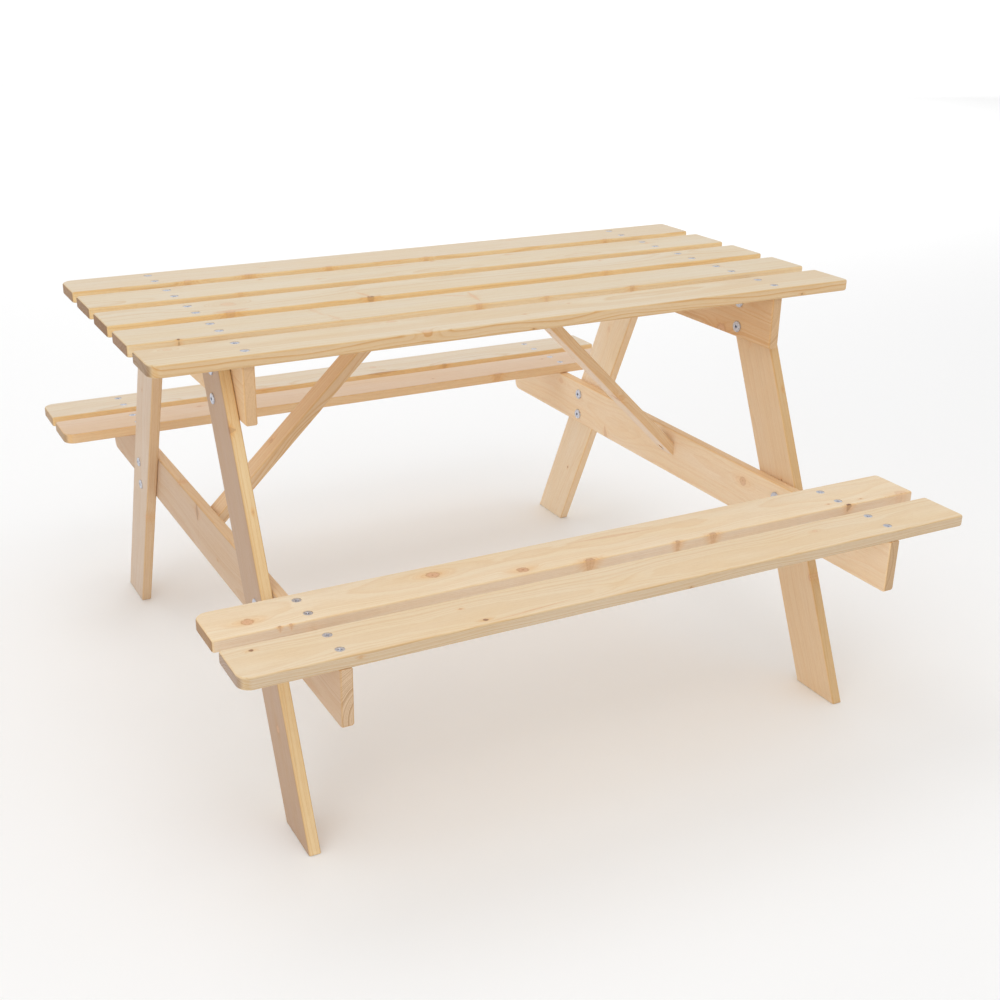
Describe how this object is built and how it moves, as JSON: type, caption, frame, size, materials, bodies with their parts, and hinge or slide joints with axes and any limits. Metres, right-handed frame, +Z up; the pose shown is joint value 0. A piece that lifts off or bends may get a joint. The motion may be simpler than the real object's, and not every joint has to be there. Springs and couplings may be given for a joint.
{
  "type": "picnic table",
  "caption": "Low wooden picnic table for children: slatted top and two attached bench seats on splayed A-frames with cross rails and diagonal braces.",
  "frame": {"origin": "on the floor, below the middle of the tabletop", "axes": "+X along the boards, +Y from the front bench to the back bench, +Z up"},
  "size_m": [0.91, 0.909, 0.51],
  "materials": {
    "tabletop_wood": "planed bare spruce, pale cream with fine honey-coloured grain",
    "bench_wood": "planed bare spruce, pale cream with knots",
    "frame_wood": "planed bare spruce, slightly darker, sawn ends",
    "brace_wood": "planed bare spruce",
    "zinc_screw": "bright zinc-plated steel",
    "zinc_bolt": "bright zinc-plated steel"
  },
  "bodies": {
    "root": {"bench_back_board_inner": "bench_wood", "bench_back_board_outer": "bench_wood", "bench_front_board_inner": "bench_wood", "bench_front_board_outer": "bench_wood", "bench_screws_left_back": "zinc_screw", "bench_screws_left_front": "zinc_screw", "bench_screws_right_back": "zinc_screw", "bench_screws_right_front": "zinc_screw", "brace_left": "brace_wood", "brace_right": "brace_wood", "brace_screws_left": "zinc_screw", "brace_screws_right": "zinc_screw", "leg_left_back": "frame_wood", "leg_left_front": "frame_wood", "leg_right_back": "frame_wood", "leg_right_front": "frame_wood", "seat_joint_bolts_left": "zinc_bolt", "seat_joint_bolts_right": "zinc_bolt", "seat_joint_nuts_left": "zinc_bolt", "seat_joint_nuts_right": "zinc_bolt", "seat_rail_left": "frame_wood", "seat_rail_right": "frame_wood", "table_board_back": "tabletop_wood", "table_board_back_mid": "tabletop_wood", "table_board_centre": "tabletop_wood", "table_board_front": "tabletop_wood", "table_board_front_mid": "tabletop_wood", "table_joint_bolts_left": "zinc_bolt", "table_joint_bolts_right": "zinc_bolt", "table_joint_nuts_left": "zinc_bolt", "table_joint_nuts_right": "zinc_bolt", "table_rail_left": "frame_wood", "table_rail_right": "frame_wood", "table_screws_left": "zinc_screw", "table_screws_right": "zinc_screw"}
  },
  "joints": []
}
